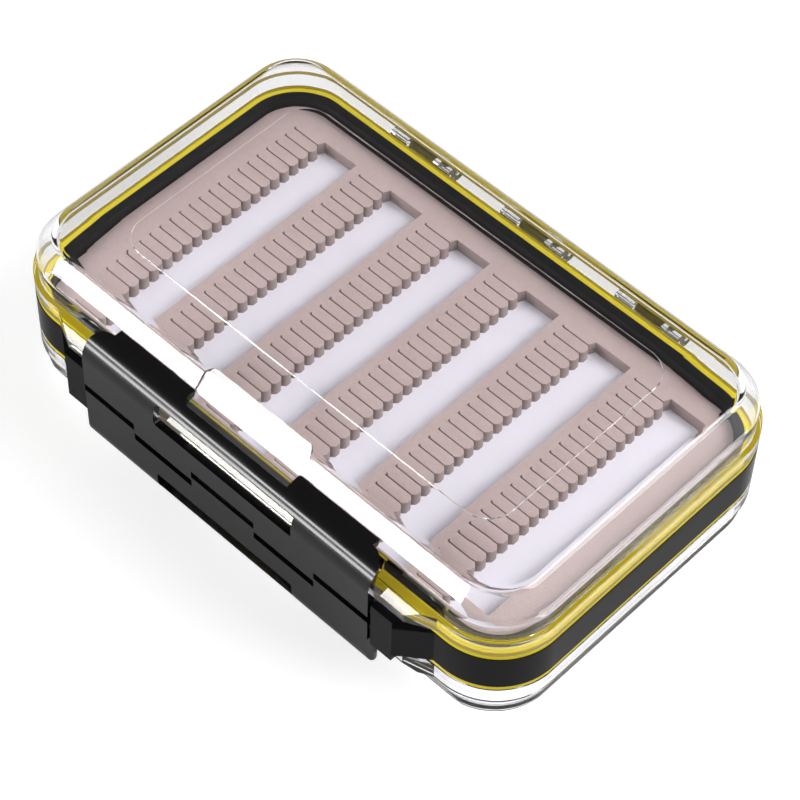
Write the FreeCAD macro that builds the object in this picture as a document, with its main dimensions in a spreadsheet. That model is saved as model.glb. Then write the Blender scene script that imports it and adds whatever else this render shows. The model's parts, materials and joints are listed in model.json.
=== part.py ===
import FreeCAD, Part

import math
import os
import re

import Sketcher
from FreeCAD import Placement, Rotation, Vector

# Double-sided waterproof fly box.
#
# A moulded centre frame carries a gasket, a slit foam insert and a hinged clear lid on each side.
# The frame's middle plane is the box's middle plane. Every piece of one side is modelled above that
# plane, and the other side's pieces are the same ones turned half a turn about the Y axis.
# X runs along the box, -Y is the latch side, +Y is the hinge side and Z is up.

# Driving dimensions in millimetres. A "reach" is a distance from the middle plane along Y, a "rise"
# is a height above the middle plane and a "setback" is a distance in from the frame's outer face.
SIZES = [
    ("frame_half_length", 75.2, "centre frame, half its length"),
    ("frame_half_width", 45.7, "centre frame, half its width"),
    ("frame_corner", 16.0, "corner radius of the frame's outer face"),
    ("band_rise", 5.05, "top of the frame's outer band"),
    ("rim_setback", 3.6, "outer face of the raised rim"),
    ("rim_wall", 2.2, "thickness of the raised rim"),
    ("rim_height", 1.75, "raised rim above the band"),
    ("divider_thickness", 0.7, "floor between the two wells"),
    ("gasket_foot_setback", 0.2, "outer edge of the gasket's foot"),
    ("gasket_foot_thickness", 1.4, "gasket under the lid's edge"),
    ("gasket_lip_width", 0.6, "gasket's lip, against the rim"),
    ("gasket_lip", 0.2, "lip above the rest of the gasket"),
    ("flange_height", 4.65, "height of the lid's thick flange"),
    ("flange_wall", 2.3, "thickness of the lid's flange"),
    ("lid_wall_setback", 1.1, "lid's wall above the flange"),
    ("lid_wall_height", 5.4, "height of the lid's wall above the flange"),
    ("bevel_run", 4.4, "how far in the lid's bevel goes"),
    ("bevel_climb", 5.9, "how far up the bevel goes"),
    ("lid_skin", 2.0, "thickness of the lid's bevel and top"),
    ("crown_climb", 0.5, "from the bevel's top edge up to the foot of the raised panel"),
    ("panel_end_setback", 20.0, "raised panel, in from the frame's ends"),
    ("panel_side_setback", 16.7, "raised panel, in from the frame's long sides"),
    ("panel_corner", 7.0, "raised panel's corner radius"),
    ("panel_step", 0.4, "height of the raised panel's edge"),
    ("wing_gap", 0.4, "between the lid's wing and the ear's cheek"),
    ("wing_overhang", 7.7, "wing's front face past the latch's end"),
    ("wing_root_overhang", 14.0, "wing's root past the latch's end"),
    ("rail_inset", 2.0, "catch rail's end inside the latch's end"),
    ("rail_overlap", 0.8, "how far the hook passes over the catch rail"),
    ("rail_gap", 0.7, "between the catch rail and the hook above it"),
    ("scoop_half_length", 15.8, "finger scoop in the bevel, half its length"),
    ("scoop_setback", 7.5, "back edge of the finger scoop"),
    ("scoop_corner", 3.5, "corner radius of the finger scoop"),
    ("hinge_gap", 0.5, "between the hinge barrels and the frame's face"),
    ("barrel_radius", 2.6, "hinge barrels"),
    ("hinge_spacing", 34.5, "from one hinge to the next"),
    ("lug_width", 8.0, "frame's hinge lug"),
    ("knuckle_width", 5.05, "lid's hinge knuckle, on each side of a lug"),
    ("knuckle_gap", 0.2, "side clearance between lug and knuckle"),
    ("hinge_pin_radius", 0.8, "hinge pins"),
    ("pin_clearance", 0.05, "radial clearance round every pin"),
    ("pin_end_inset", 0.3, "pin's end inside its bore's mouth"),
    ("latch_standoff", 5.7, "latch's outer face in front of the frame's"),
    ("latch_wall", 1.8, "latch's thickness"),
    ("latch_half_length", 43.0, "latch, half its length"),
    ("hook_radius", 7.0, "round top of the latch's hook"),
    ("hook_centre_rise", 11.2, "centre of that round"),
    ("hook_depth", 6.0, "latch's outer face to the hook's inner edge"),
    ("hook_corner", 4.5, "hook's corner radius at the latch's ends"),
    ("latch_foot_rise", 2.7, "latch's lower edge between its tabs"),
    ("latch_tab_drop", 0.5, "how far a tab passes the middle plane"),
    ("tab_inner_half_length", 9.5, "inner break of the line between the latches"),
    ("tab_outer_half_length", 27.3, "outer break of that line"),
    ("slot_half_length", 20.7, "slot through the latch, half its length"),
    ("slot_below", 2.2, "slot's lower edge below the hook's centre"),
    ("slot_above", 3.6, "slot's upper edge above the hook's centre"),
    ("notch_half_length", 15.6, "notch in the hook's inner edge, half its length"),
    ("notch_depth", 1.9, "depth of that notch"),
    ("latch_pivot_rise", 2.8, "latch's pivot axis above the middle plane"),
    ("boss_radius", 1.5, "round end of the latch about its pivot"),
    ("boss_length", 3.5, "length of that round end"),
    ("latch_pin_radius", 0.75, "latch pins"),
    ("latch_pin_bore", 2.8, "depth of the pin's bore in the latch and in the ear"),
    ("ear_gap", 0.5, "between the latch's end and the ear"),
    ("ear_setback", 0.4, "ear's front face behind the latch's outer face"),
    ("ear_length", 6.0, "length of the ear's front face"),
    ("ear_root_length", 13.0, "length of the ear at the frame's face"),
    ("ear_cheek", 1.8, "thickness of the ear's tall front cheek"),
    ("ear_cheek_rise", 7.1, "top of that cheek"),
    ("insert_clearance", 0.3, "round the foam, its backing and its tape"),
    ("tape_thickness", 0.1, "tape under the backing"),
    ("backing_thickness", 0.35, "white sheet under the foam"),
    ("foam_thickness", 3.5, "slit foam"),
    ("trough_pitch", 21.0, "from one trough to the next"),
    ("trough_shift", 8.4, "middle of the row of straight trough edges"),
    ("trough_margin", 5.5, "least foam left beyond the troughs on every side"),
    ("trough_width", 10.0, "straight edge to the tips of the tabs"),
    ("tab_chamfer", 0.8, "depth of the tabs' cut corners"),
    ("tab_tip_width", 1.3, "flat tip between them"),
    ("slit_length", 7.6, "slit from its mouth to its inner end"),
    ("slit_width", 0.25, "slit"),
    ("slit_pitch", 3.07, "from one slit to the next"),
    ("overrun", 3.0, "how far a cut or a root passes the face it meets"),
]

doc = FreeCAD.newDocument("fly_box")
sheet = doc.addObject("Spreadsheet::Sheet", "sizes")
for row, (alias, value, meaning) in enumerate(SIZES, start=1):
    sheet.set(f"A{row}", alias)
    sheet.set(f"B{row}", str(value))
    sheet.set(f"C{row}", meaning)
    sheet.setAlias(f"B{row}", alias)
doc.recompute()

# Places and shares of sizes that follow from the sizes above. Each may use those before it.
PLACES = {
    "well_setback": "rim_setback + rim_wall",
    "rim_rise": "band_rise + rim_height",
    "lid_foot_rise": "band_rise + gasket_foot_thickness",
    "flange_rise": "lid_foot_rise + flange_height",
    "bevel_foot_rise": "flange_rise + lid_wall_height",
    "bevel_setback": "lid_wall_setback + bevel_run",
    "bevel_rise": "bevel_foot_rise + bevel_climb",
    "panel_foot_rise": "bevel_rise + crown_climb",
    "lid_rise": "panel_foot_rise + panel_step",
    "panel_half_length": "frame_half_length - panel_end_setback",
    "panel_half_width": "frame_half_width - panel_side_setback",
    # The inner bevel lies a lid skin behind the outer one.
    "bevel_length": "sqrt(bevel_run ^ 2 + bevel_climb ^ 2)",
    "cavity_top_rise": "bevel_rise - lid_skin",
    "cavity_top_setback": "lid_wall_setback + lid_skin * bevel_length / bevel_climb"
                          " + (cavity_top_rise - bevel_foot_rise) * bevel_run / bevel_climb",
    "cavity_shoulder_rise": "cavity_top_rise"
                            " - (cavity_top_setback - flange_wall) * bevel_climb / bevel_run",
    "latch_reach": "frame_half_width + latch_standoff",
    "latch_inner_reach": "latch_reach - latch_wall",
    "latch_pivot_reach": "latch_inner_reach",
    "hook_edge_reach": "latch_reach - hook_depth",
    "notch_reach": "hook_edge_reach + notch_depth",
    "slot_low_rise": "hook_centre_rise - slot_below",
    "slot_high_rise": "hook_centre_rise + slot_above",
    "latch_bore_radius": "latch_pin_radius + pin_clearance",
    "ear_inner_half_length": "latch_half_length + ear_gap",
    "ear_half_length": "ear_inner_half_length + ear_length",
    "ear_root_half_length": "ear_inner_half_length + ear_root_length",
    "ear_reach": "latch_reach - ear_setback",
    "wing_reach": "ear_reach - ear_cheek - wing_gap",
    "wing_half_length": "latch_half_length + wing_overhang",
    "wing_root_half_length": "latch_half_length + wing_root_overhang",
    "rail_half_length": "latch_half_length - rail_inset",
    "rail_reach": "hook_edge_reach + rail_overlap",
    "rail_rise": "hook_centre_rise + hook_radius - latch_wall - rail_gap",
    "scoop_reach": "frame_half_width - scoop_setback",
    "hinge_reach": "frame_half_width + hinge_gap + barrel_radius",
    "hinge_rise": "2 * barrel_radius",
    "bore_radius": "hinge_pin_radius + pin_clearance",
    "hinge_half_width": "lug_width / 2 + knuckle_gap + knuckle_width",
    "hinge_row_half": "hinge_spacing + hinge_half_width",
    "insert_setback": "well_setback + insert_clearance",
    "backing_foot_rise": "divider_thickness / 2 + tape_thickness",
    "foam_foot_rise": "backing_foot_rise + backing_thickness",
    "trough_half_length": "frame_half_width - insert_setback - trough_margin",
    "trough_span": "trough_width + tab_chamfer + slit_length",
    "trough_row_length": "2 * (frame_half_length - insert_setback - trough_margin)",
}
BOUND = {alias: f"sizes.{alias}" for alias, _, _ in SIZES}


def bound(formula):
    """Return a formula of names as an expression on the sheet."""
    return re.sub(r"[a-z_]+", lambda word: BOUND.get(word[0], word[0]), formula)


for place, place_formula in PLACES.items():
    BOUND[place] = f"({bound(place_formula)})"


def amount(formula):
    """Return the value of a formula of names."""
    result = sheet.evalExpression(bound(formula))
    return float(getattr(result, "Value", result))


def new_body(label, turned=False):
    """Start a sub-part whose middle plane lies a lid's rise above the base."""
    body = doc.addObject("PartDesign::Body", label)
    body.Label = label
    turn = Rotation(Vector(0, 1, 0), 180) if turned else Rotation()
    body.Placement = Placement(Vector(0, 0, 0), turn)
    body.setExpression("Placement.Base.z", bound("lid_rise"))
    return body


def new_sketch(body, name, plane="XY_Plane", offset="0"):
    """Start a sketch on one of the body's own planes, moved along that plane's normal."""
    sketch = body.newObject("Sketcher::SketchObject", name)
    origin_plane = next(item for item in body.Origin.OriginFeatures if item.Role == plane)
    sketch.AttachmentSupport = [(origin_plane, "")]
    sketch.MapMode = "FlatFace"
    if offset != "0":
        sketch.setExpression("AttachmentOffset.Base.z", bound(offset))
    return sketch


def constrain(sketch, kind, *items, formula=None):
    """Add a constraint, and bind its value to a formula where it has one."""
    if formula is None:
        sketch.addConstraint(Sketcher.Constraint(kind, *items))
        return
    index = sketch.addConstraint(Sketcher.Constraint(kind, *items, amount(formula)))
    sketch.setExpression(f"Constraints[{index}]", bound(formula))


def draw_rounded(sketch, half_length, half_width, corner):
    """Draw a rounded rectangle about the origin, with four tangent corner arcs."""
    length, width, radius = amount(half_length), amount(half_width), amount(corner)
    corners = [(length, width, 0), (-length, width, 1), (-length, -width, 2), (length, -width, 3)]
    arcs = []
    for x, y, quarter in corners:
        centre = Vector(x - math.copysign(radius, x), y - math.copysign(radius, y), 0)
        circle = Part.Circle(centre, Vector(0, 0, 1), radius)
        start = quarter * math.pi / 2
        arcs.append(sketch.addGeometry(Part.ArcOfCircle(circle, start, start + math.pi / 2)))
    for number, arc in enumerate(arcs):
        after = arcs[(number + 1) % 4]
        ends = (sketch.getPoint(arc, 2), sketch.getPoint(after, 1))
        side = sketch.addGeometry(Part.LineSegment(*ends))
        constrain(sketch, "Tangent", arc, 2, side, 1)
        constrain(sketch, "Tangent", side, 2, after, 1)
        constrain(sketch, "Vertical" if number % 2 else "Horizontal", side)
    for arc in arcs[1:]:
        constrain(sketch, "Equal", arcs[0], arc)
    constrain(sketch, "Symmetric", arcs[0], 3, arcs[2], 3, -1, 1)
    constrain(sketch, "Radius", arcs[0], formula=corner)
    constrain(sketch, "DistanceX", -1, 1, arcs[0], 1, formula=half_length)
    constrain(sketch, "DistanceY", -1, 1, arcs[0], 2, formula=half_width)


def draw_inset(sketch, setback):
    """Draw the frame's outline, moved in by a setback."""
    draw_rounded(sketch, f"frame_half_length - ({setback})", f"frame_half_width - ({setback})",
                 f"frame_corner - ({setback})")


def draw_outline(sketch, points, arcs=()):
    """Draw a closed outline through points given as pairs of formulas.

    An entry of arcs is (number of the side, radius formula, centre formulas), and makes that
    side a counter-clockwise or clockwise arc, whichever is the shorter way round.
    """
    places = [Vector(amount(x), amount(y), 0) for x, y in points]
    round_sides = {number: (radius, centre) for number, radius, centre in arcs}
    sides = []
    for number, start in enumerate(places):
        end = places[(number + 1) % len(places)]
        if number not in round_sides:
            sides.append((sketch.addGeometry(Part.LineSegment(start, end)), 1, 2))
            continue
        radius, centre = round_sides[number]
        middle = Vector(amount(centre[0]), amount(centre[1]), 0)
        halfway = (start + end) / 2 - middle
        crown = middle + halfway.normalize() * amount(radius)
        forward = (start - middle).cross(end - middle).z > 0
        side = sketch.addGeometry(Part.Arc(start, crown, end))
        sides.append((side, 1, 2) if forward else (side, 2, 1))
        constrain(sketch, "Radius", side, formula=radius)
    for number, (side, _, finish) in enumerate(sides):
        after, begin, _ = sides[(number + 1) % len(sides)]
        constrain(sketch, "Coincident", side, finish, after, begin)
    for (side, begin, _), (x, y) in zip(sides, points):
        constrain(sketch, "DistanceX", -1, 1, side, begin, formula=x)
        constrain(sketch, "DistanceY", -1, 1, side, begin, formula=y)


def draw_rectangle(sketch, left, right, low, high):
    """Draw a rectangle between four formulas."""
    draw_outline(sketch, [(left, low), (right, low), (right, high), (left, high)])


def draw_circle(sketch, across, up, radius):
    """Draw a circle about a point given as two formulas."""
    centre = Vector(amount(across), amount(up), 0)
    circle = sketch.addGeometry(Part.Circle(centre, Vector(0, 0, 1), amount(radius)))
    constrain(sketch, "Radius", circle, formula=radius)
    constrain(sketch, "DistanceX", -1, 1, circle, 3, formula=across)
    constrain(sketch, "DistanceY", -1, 1, circle, 3, formula=up)


def pad(body, sketch, length, both_ways=False, backwards=False):
    """Pad a sketch, and check that the body grew."""
    feature = body.newObject("PartDesign::Pad", f"{sketch.Name}_pad")
    return extruded(body, feature, sketch, length, both_ways, backwards, growing=True)


def pocket(body, sketch, length, both_ways=False, backwards=False):
    """Cut a sketch away, and check that the body shrank."""
    feature = body.newObject("PartDesign::Pocket", f"{sketch.Name}_pocket")
    return extruded(body, feature, sketch, length, both_ways, backwards, growing=False)


def extruded(body, feature, sketch, length, both_ways, backwards, growing):
    """Set up a Pad or Pocket and test what it did to the body's volume."""
    before = 0.0 if body.Shape.isNull() else body.Shape.Volume
    feature.Profile = sketch
    feature.Midplane = both_ways
    feature.Reversed = backwards
    feature.setExpression("Length", bound(length))
    doc.recompute()
    check_change(feature, before, growing)
    return feature


def check_change(feature, before, growing):
    """Stop if a feature failed or left the volume as it was."""
    after = feature.Shape.Volume
    if not feature.isValid() or (after > before) != growing:
        raise RuntimeError(f"{feature.Name} changed the volume from {before} to {after}")


def loft(body, kind, lower, upper, growing):
    """Loft between two sketches with straight sides."""
    before = body.Shape.Volume
    feature = body.newObject(f"PartDesign::{kind}", f"{lower.Name}_loft")
    feature.Profile = lower
    feature.Sections = [upper]
    feature.Ruled = True
    doc.recompute()
    check_change(feature, before, growing)
    return feature


def inset_sketch(body, name, setback, rise):
    """Sketch the frame's outline at a setback and a rise."""
    sketch = new_sketch(body, name, offset=rise)
    draw_inset(sketch, setback)
    return sketch


def cut_row_gaps(body, name, half_widths, low_reach):
    """Cut a hinge row into its pieces. half_widths lists (from, to) formulas about each place."""
    sketch = new_sketch(body, name)
    for left, right in half_widths:
        draw_rectangle(sketch, left, right, low_reach, "hinge_reach + barrel_radius + overrun")
    pocket(body, sketch, "2 * (hinge_rise + barrel_radius + overrun)", both_ways=True)


def make_center_frame():
    """Outer band, raised rims, two wells, hinge lugs and latch ears in one moulding."""
    body = new_body("center_frame")
    pad(body, inset_sketch(body, "band", "0", "0"), "2 * band_rise", both_ways=True)
    pad(body, inset_sketch(body, "rims", "rim_setback", "0"), "2 * rim_rise", both_ways=True)
    add_ears(body)
    add_hinge_lugs(body)
    depth = "rim_rise - divider_thickness / 2"
    pocket(body, inset_sketch(body, "upper_well", "well_setback", "rim_rise"), depth)
    pocket(body, inset_sketch(body, "lower_well", "well_setback", "-rim_rise"), depth,
           backwards=True)
    return body


def add_ears(body):
    """Ears at the latches' ends, with a bore for each latch pin."""
    blocks = new_sketch(body, "ears")
    cheeks = new_sketch(body, "ear_cheeks")
    root = "-(frame_half_width - rim_setback)"
    cheek_back = "-(ear_reach - ear_cheek)"
    for way in ("", "-"):
        draw_outline(blocks, [
            (f"{way}ear_inner_half_length", root),
            (f"{way}ear_inner_half_length", "-ear_reach"),
            (f"{way}ear_half_length", "-ear_reach"),
            (f"{way}ear_root_half_length", "-frame_half_width"),
            (f"{way}ear_root_half_length", root),
        ])
        draw_rectangle(cheeks, f"{way}ear_inner_half_length", f"{way}ear_half_length", "-ear_reach",
                       cheek_back)
    pad(body, blocks, "2 * band_rise", both_ways=True)
    pad(body, cheeks, "2 * ear_cheek_rise", both_ways=True)
    bores = new_sketch(body, "ear_bores", "YZ_Plane")
    for way in ("", "-"):
        draw_circle(bores, "-latch_pivot_reach", f"{way}latch_pivot_rise", "latch_bore_radius")
    pocket(body, bores, "2 * (ear_inner_half_length + latch_pin_bore)", both_ways=True)


def add_hinge_lugs(body):
    """Three back lugs, each with the bores of an upper and a lower hinge."""
    root = "frame_half_width - gasket_foot_setback"
    webs = new_sketch(body, "lug_webs", "YZ_Plane")
    draw_rectangle(webs, root, "hinge_reach + barrel_radius", "-band_rise", "band_rise")
    barrels = new_sketch(body, "lug_barrels", "YZ_Plane")
    bores = new_sketch(body, "lug_bores", "YZ_Plane")
    for way in ("", "-"):
        draw_circle(barrels, "hinge_reach", f"{way}hinge_rise", "barrel_radius")
        draw_circle(bores, "hinge_reach", f"{way}hinge_rise", "bore_radius")
    row = "2 * hinge_spacing + lug_width"
    pad(body, webs, row, both_ways=True)
    pad(body, barrels, row, both_ways=True)
    pocket(body, bores, row, both_ways=True)
    near, far = "lug_width / 2", "hinge_spacing - lug_width / 2"
    cut_row_gaps(body, "lug_gaps", [(f"-({far})", f"-({near})"), (near, far)],
                 "frame_half_width")


def make_lid(label, turned):
    """Clear lid: flange with a wing, wall, bevel, crown, raised panel, catch rail and knuckles."""
    body = new_body(label, turned)
    pad(body, inset_sketch(body, f"{label}_flange", "0", "lid_foot_rise"),
        "flange_rise - lid_foot_rise")
    wing = new_sketch(body, f"{label}_wing", offset="lid_foot_rise")
    wing_root = "-(frame_half_width - flange_wall)"
    draw_outline(wing, [
        ("-wing_root_half_length", wing_root), ("-wing_root_half_length", "-frame_half_width"),
        ("-wing_half_length", "-wing_reach"), ("wing_half_length", "-wing_reach"),
        ("wing_root_half_length", "-frame_half_width"), ("wing_root_half_length", wing_root)])
    pad(body, wing, "flange_rise - lid_foot_rise")
    pad(body, inset_sketch(body, f"{label}_wall", "lid_wall_setback", "lid_foot_rise"),
        "bevel_foot_rise - lid_foot_rise")
    loft(body, "AdditiveLoft",
         inset_sketch(body, f"{label}_bevel_foot", "lid_wall_setback", "bevel_foot_rise"),
         inset_sketch(body, f"{label}_bevel_top", "bevel_setback", "bevel_rise"), growing=True)
    add_crown(body, label)
    rail = new_sketch(body, f"{label}_rail", "YZ_Plane")
    draw_rectangle(rail, "-rail_reach", wing_root, "flange_rise - lid_skin", "rail_rise")
    pad(body, rail, "2 * rail_half_length", both_ways=True)
    add_knuckles(body, label)
    cut_cavity(body, label)
    cut_scoop(body, label)
    return body


def add_crown(body, label):
    """The gentle slope from the bevel to the raised panel, and that panel."""
    foot = inset_sketch(body, f"{label}_crown_foot", "bevel_setback", "bevel_rise")
    top = new_sketch(body, f"{label}_crown_top", offset="panel_foot_rise")
    draw_rounded(top, "panel_half_length", "panel_half_width", "panel_corner")
    loft(body, "AdditiveLoft", foot, top, growing=True)
    panel = new_sketch(body, f"{label}_panel", offset="panel_foot_rise")
    draw_rounded(panel, "panel_half_length", "panel_half_width", "panel_corner")
    pad(body, panel, "panel_step")


def add_knuckles(body, label):
    """Two knuckles at each of the three hinges, with their webs and bores."""
    row = "2 * hinge_row_half"
    barrel = new_sketch(body, f"{label}_barrel", "YZ_Plane")
    draw_circle(barrel, "hinge_reach", "hinge_rise", "barrel_radius")
    web = new_sketch(body, f"{label}_web", "YZ_Plane")
    draw_rectangle(web, "frame_half_width - lid_wall_setback", "hinge_reach", "lid_foot_rise",
                   "hinge_rise + barrel_radius")
    bore = new_sketch(body, f"{label}_bore", "YZ_Plane")
    draw_circle(bore, "hinge_reach", "hinge_rise", "bore_radius")
    pad(body, web, row, both_ways=True)
    pad(body, barrel, row, both_ways=True)
    pocket(body, bore, row, both_ways=True)
    lug = "(lug_width / 2 + knuckle_gap)"
    gaps = [(f"-{lug}", lug)]
    for way in ("", "-"):
        inner = f"{way}hinge_half_width"
        outer = f"{way}(hinge_spacing - hinge_half_width)"
        gaps.append((inner, outer))
        gaps.append((f"{way}(hinge_spacing - {lug})", f"{way}(hinge_spacing + {lug})"))
    cut_row_gaps(body, f"{label}_knuckle_gaps", gaps, "frame_half_width")


def cut_cavity(body, label):
    """The lid's inside: straight behind the flange, then parallel to the bevel."""
    pocket(body, inset_sketch(body, f"{label}_cavity", "flange_wall", "lid_foot_rise"),
           "cavity_shoulder_rise - lid_foot_rise", backwards=True)
    loft(body, "SubtractiveLoft",
         inset_sketch(body, f"{label}_cavity_foot", "flange_wall", "cavity_shoulder_rise"),
         inset_sketch(body, f"{label}_cavity_top", "cavity_top_setback", "cavity_top_rise"),
         growing=False)


def cut_scoop(body, label):
    """A shallow finger scoop in the front bevel, open at the bevel's foot."""
    foot_reach = "(frame_half_width - lid_wall_setback)"
    run = f"({foot_reach} - scoop_reach)"
    climb = "(panel_foot_rise - bevel_foot_rise)"
    slope_length = f"sqrt({run} ^ 2 + {climb} ^ 2)"
    scoop = new_sketch(body, f"{label}_scoop")
    scoop.AttachmentOffset = Placement(Vector(0, 0, 0), Rotation(Vector(1, 0, 0), 1))
    scoop.setExpression("AttachmentOffset.Rotation.Angle", bound(f"atan({climb} / {run})"))
    scoop.setExpression("AttachmentOffset.Base.y", bound(f"-{foot_reach}"))
    scoop.setExpression("AttachmentOffset.Base.z", bound("bevel_foot_rise"))
    side, corner = "scoop_half_length", "scoop_corner"
    draw_outline(scoop, [
        (f"-{side}", "-overrun"), (side, "-overrun"),
        (side, f"{slope_length} - {corner}"), (f"{side} - {corner}", slope_length),
        (f"-({side} - {corner})", slope_length), (f"-{side}", f"{slope_length} - {corner}"),
    ], arcs=[
        (2, corner, (f"{side} - {corner}", f"{slope_length} - {corner}")),
        (4, corner, (f"-({side} - {corner})", f"{slope_length} - {corner}")),
    ])
    pocket(body, scoop, "overrun", backwards=True)


def make_gasket(label, turned):
    """Soft flat seal under the lid's edge, with a lip against the rim."""
    body = new_body(label, turned)
    pad(body, inset_sketch(body, f"{label}_foot", "gasket_foot_setback", "band_rise"),
        "gasket_foot_thickness")
    pad(body, inset_sketch(body, f"{label}_lip", "rim_setback - gasket_lip_width", "lid_foot_rise"),
        "gasket_lip")
    pocket(body, inset_sketch(body, f"{label}_mouth", "rim_setback", "band_rise"),
           "gasket_foot_thickness + gasket_lip", backwards=True)
    return body


def make_latch(label, turned, tabs):
    """Latch: flat plate with a round hook, a slot, a notched hook edge and two pivot bosses.

    tabs lists the (from, to) formulas of the stretches that reach past the middle plane.
    """
    body = new_body(label, turned)
    centre = ("-(latch_reach - hook_radius)", "hook_centre_rise")
    depth = "(latch_reach - hook_radius - hook_edge_reach)"
    hook_top = f"hook_centre_rise + sqrt(hook_radius ^ 2 - {depth} ^ 2)"
    hook_under = f"hook_centre_rise + sqrt((hook_radius - latch_wall) ^ 2 - {depth} ^ 2)"
    profile = new_sketch(body, f"{label}_profile", "YZ_Plane")
    draw_outline(profile, [
        ("-latch_reach", "latch_foot_rise"), ("-latch_inner_reach", "latch_foot_rise"),
        ("-latch_inner_reach", "hook_centre_rise"), ("-hook_edge_reach", hook_under),
        ("-hook_edge_reach", hook_top), ("-latch_reach", "hook_centre_rise"),
    ], arcs=[(2, "hook_radius - latch_wall", centre), (4, "hook_radius", centre)])
    pad(body, profile, "2 * latch_half_length", both_ways=True)
    front = new_sketch(body, f"{label}_tabs", "XZ_Plane", "latch_inner_reach")
    for left, right in tabs:
        draw_rectangle(front, left, right, "-latch_tab_drop", "latch_foot_rise")
    pad(body, front, "latch_wall")
    slot = new_sketch(body, f"{label}_slot", "XZ_Plane", "rail_reach")
    draw_rectangle(slot, "-slot_half_length", "slot_half_length", "slot_low_rise",
                   "slot_high_rise")
    pocket(body, slot, "hook_radius + overrun", backwards=True)
    cut_hook_edge(body, label)
    add_bosses(body, label)
    return body


def cut_hook_edge(body, label):
    """The notch in the hook's inner edge, and the round corners at its two ends."""
    plan = new_sketch(body, f"{label}_hook_edge", offset="hook_centre_rise")
    draw_rectangle(plan, "-notch_half_length", "notch_half_length", "-notch_reach",
                   "-(hook_edge_reach - overrun)")
    end, corner = "latch_half_length", "hook_corner"
    edge, past = "-hook_edge_reach", "-(hook_edge_reach - overrun)"
    for way in ("", "-"):
        inside = f"{way}({end} - {corner})"
        outside = f"{way}({end} + overrun)"
        low = f"-(hook_edge_reach + {corner})"
        draw_outline(plan, [
            (inside, edge), (f"{way}{end}", low), (outside, low), (outside, past), (inside, past),
        ], arcs=[(0, corner, (inside, low))])
    pocket(body, plan, "hook_radius + overrun", backwards=True)


def add_bosses(body, label):
    """Round bosses about the pivot at both ends, each with a blind bore for its pin."""
    for side, way, back in (("right", "", True), ("left", "-", False)):
        end = f"{way}latch_half_length"
        boss = new_sketch(body, f"{label}_{side}_boss", "YZ_Plane", end)
        draw_circle(boss, "-latch_pivot_reach", "latch_pivot_rise", "boss_radius")
        pad(body, boss, "boss_length", backwards=back)
        bore = new_sketch(body, f"{label}_{side}_bore", "YZ_Plane", end)
        draw_circle(bore, "-latch_pivot_reach", "latch_pivot_rise", "latch_bore_radius")
        pocket(body, bore, "latch_pin_bore", backwards=not back)


def make_sheet(label, turned, foot, thickness):
    """A flat sheet that lies in a well of the frame."""
    body = new_body(label, turned)
    outline = inset_sketch(body, f"{label}_outline", "insert_setback", foot)
    pad(body, outline, thickness)
    return body


def trough_outline(straight_edge, rise):
    """One trough through the foam, with a slit between every two tabs on its left side."""
    end = amount("trough_half_length")
    tip = straight_edge - amount("trough_width")
    mouth = tip - amount("tab_chamfer")
    inner = mouth - amount("slit_length")
    half_slit = amount("slit_width / 2")
    half_valley = amount("(slit_pitch - tab_tip_width) / 2")
    pitch, count = amount("slit_pitch"), math.floor(2 * end / amount("slit_pitch"))
    points = [(mouth, end), (straight_edge, end), (straight_edge, -end), (mouth, -end)]
    for number in range(count):
        middle = (number - (count - 1) / 2) * pitch
        low, high = middle - half_slit, middle + half_slit
        if number > 0:
            points.append((tip, middle - half_valley))
        points += [(mouth, low), (inner, low), (inner, high), (mouth, high)]
        if number < count - 1:
            points.append((tip, middle + half_valley))
    return Part.makePolygon([Vector(x, y, rise) for x, y in points + points[:1]])


def rounded_wire(half_length, half_width, corner, rise):
    """A closed rounded rectangle about the Z axis."""
    edges = []
    for across, along in ((1, 1), (-1, 1), (-1, -1), (1, -1)):
        centre = Vector(across * (half_length - corner), along * (half_width - corner), rise)
        side = centre + Vector(across * corner, 0, 0)
        end = centre + Vector(0, along * corner, 0)
        crown = centre + Vector(across, along, 0).normalize() * corner
        start, stop = (side, end) if across == along else (end, side)
        if edges:
            edges.append(Part.LineSegment(edges[-1].EndPoint, start))
        edges.append(Part.Arc(start, crown, stop))
    edges.append(Part.LineSegment(edges[-1].EndPoint, edges[0].StartPoint))
    return Part.Wire([edge.toShape() for edge in edges])


def make_slit_foam(label, turned):
    """Die-cut foam: a sheet with its troughs, slits and tabs cut right through."""
    rise = amount("foam_foot_rise")
    outline = rounded_wire(amount("frame_half_length - insert_setback"),
                           amount("frame_half_width - insert_setback"),
                           amount("frame_corner - insert_setback"), rise)
    pitch = amount("trough_pitch")
    count = 1 + math.floor(amount("(trough_row_length - trough_span) / trough_pitch"))
    edges = [amount("trough_shift") + (number - (count - 1) / 2) * pitch
             for number in range(count)]
    face = Part.Face(outline)
    troughs = [Part.Face(trough_outline(edge, rise)) for edge in edges]
    holed = face.cut(Part.makeCompound(troughs)).Faces[0]
    foam = doc.addObject("Part::Feature", label)
    foam.Label = label
    foam.Shape = holed.extrude(Vector(0, 0, amount("foam_thickness")))
    turn = Rotation(Vector(0, 1, 0), 180) if turned else Rotation()
    foam.Placement = Placement(Vector(0, 0, amount("lid_rise")), turn)
    return foam


def make_pin(label, radius, length, start, reach, rise):
    """A steel pin along X, from a start place."""
    pin = doc.addObject("Part::Cylinder", label)
    pin.Label = label
    pin.Placement = Placement(Vector(0, 0, 0), Rotation(Vector(0, 1, 0), 90))
    pin.setExpression("Radius", bound(radius))
    pin.setExpression("Height", bound(length))
    pin.setExpression("Placement.Base.x", bound(start))
    pin.setExpression("Placement.Base.y", bound(reach))
    pin.setExpression("Placement.Base.z", bound(f"lid_rise + {rise}"))
    return pin


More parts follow.
